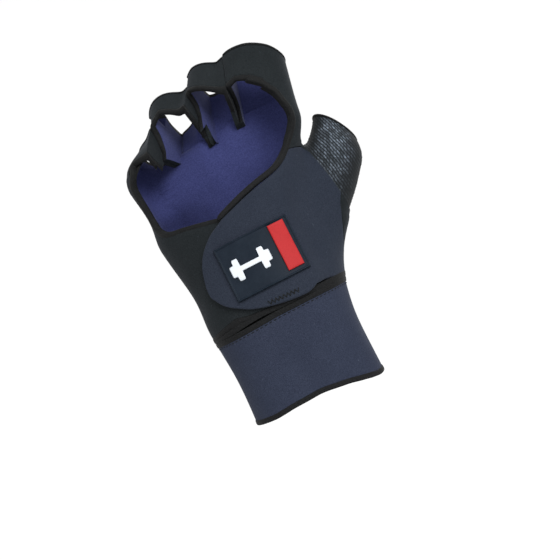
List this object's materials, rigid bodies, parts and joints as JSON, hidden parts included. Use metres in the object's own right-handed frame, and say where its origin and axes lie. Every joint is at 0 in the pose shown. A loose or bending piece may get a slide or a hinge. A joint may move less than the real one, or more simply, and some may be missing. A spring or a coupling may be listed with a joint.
{
  "type": "fitness glove",
  "caption": "Open-back fitness glove with half-finger loops, a knitted thumb sleeve, a closing flap and a wrap-round wrist band, in the shape it has when worn.",
  "frame": {"origin": "centre of the wrist band's lower opening, where the forearm goes in", "axes": "+Z along the forearm towards the fingers, -Y out of the back of the hand, +X towards the thumb"},
  "size_m": [0.1226, 0.0627, 0.19],
  "materials": {
    "neoprene": "matt black stretch fabric over neoprene",
    "navy": "matt dark navy stretch fabric",
    "band": "matt blue grey stretch fabric",
    "tape": "black woven binding tape",
    "lining": "plain blue lining fabric",
    "knit": "black and grey grip knit",
    "rubber": "satin dark navy moulded rubber",
    "red": "satin red moulded rubber",
    "white": "satin white moulded rubber"
  },
  "bodies": {
    "root": {"palm_panel": "neoprene", "palm_lining": "lining", "index_loop": "neoprene", "middle_loop": "neoprene", "ring_loop": "neoprene", "little_loop": "neoprene", "thumb_stall": "knit", "thumb_tape": "tape", "back_flap": "navy", "flap_tape": "tape", "strap_tape": "tape", "hand_hem": "tape", "wrist_wrap": "band", "wrap_hem_upper": "tape", "wrap_hem_lower": "tape", "badge_plate": "rubber", "badge_bar": "red", "badge_emblem": "white"}
  },
  "joints": []
}
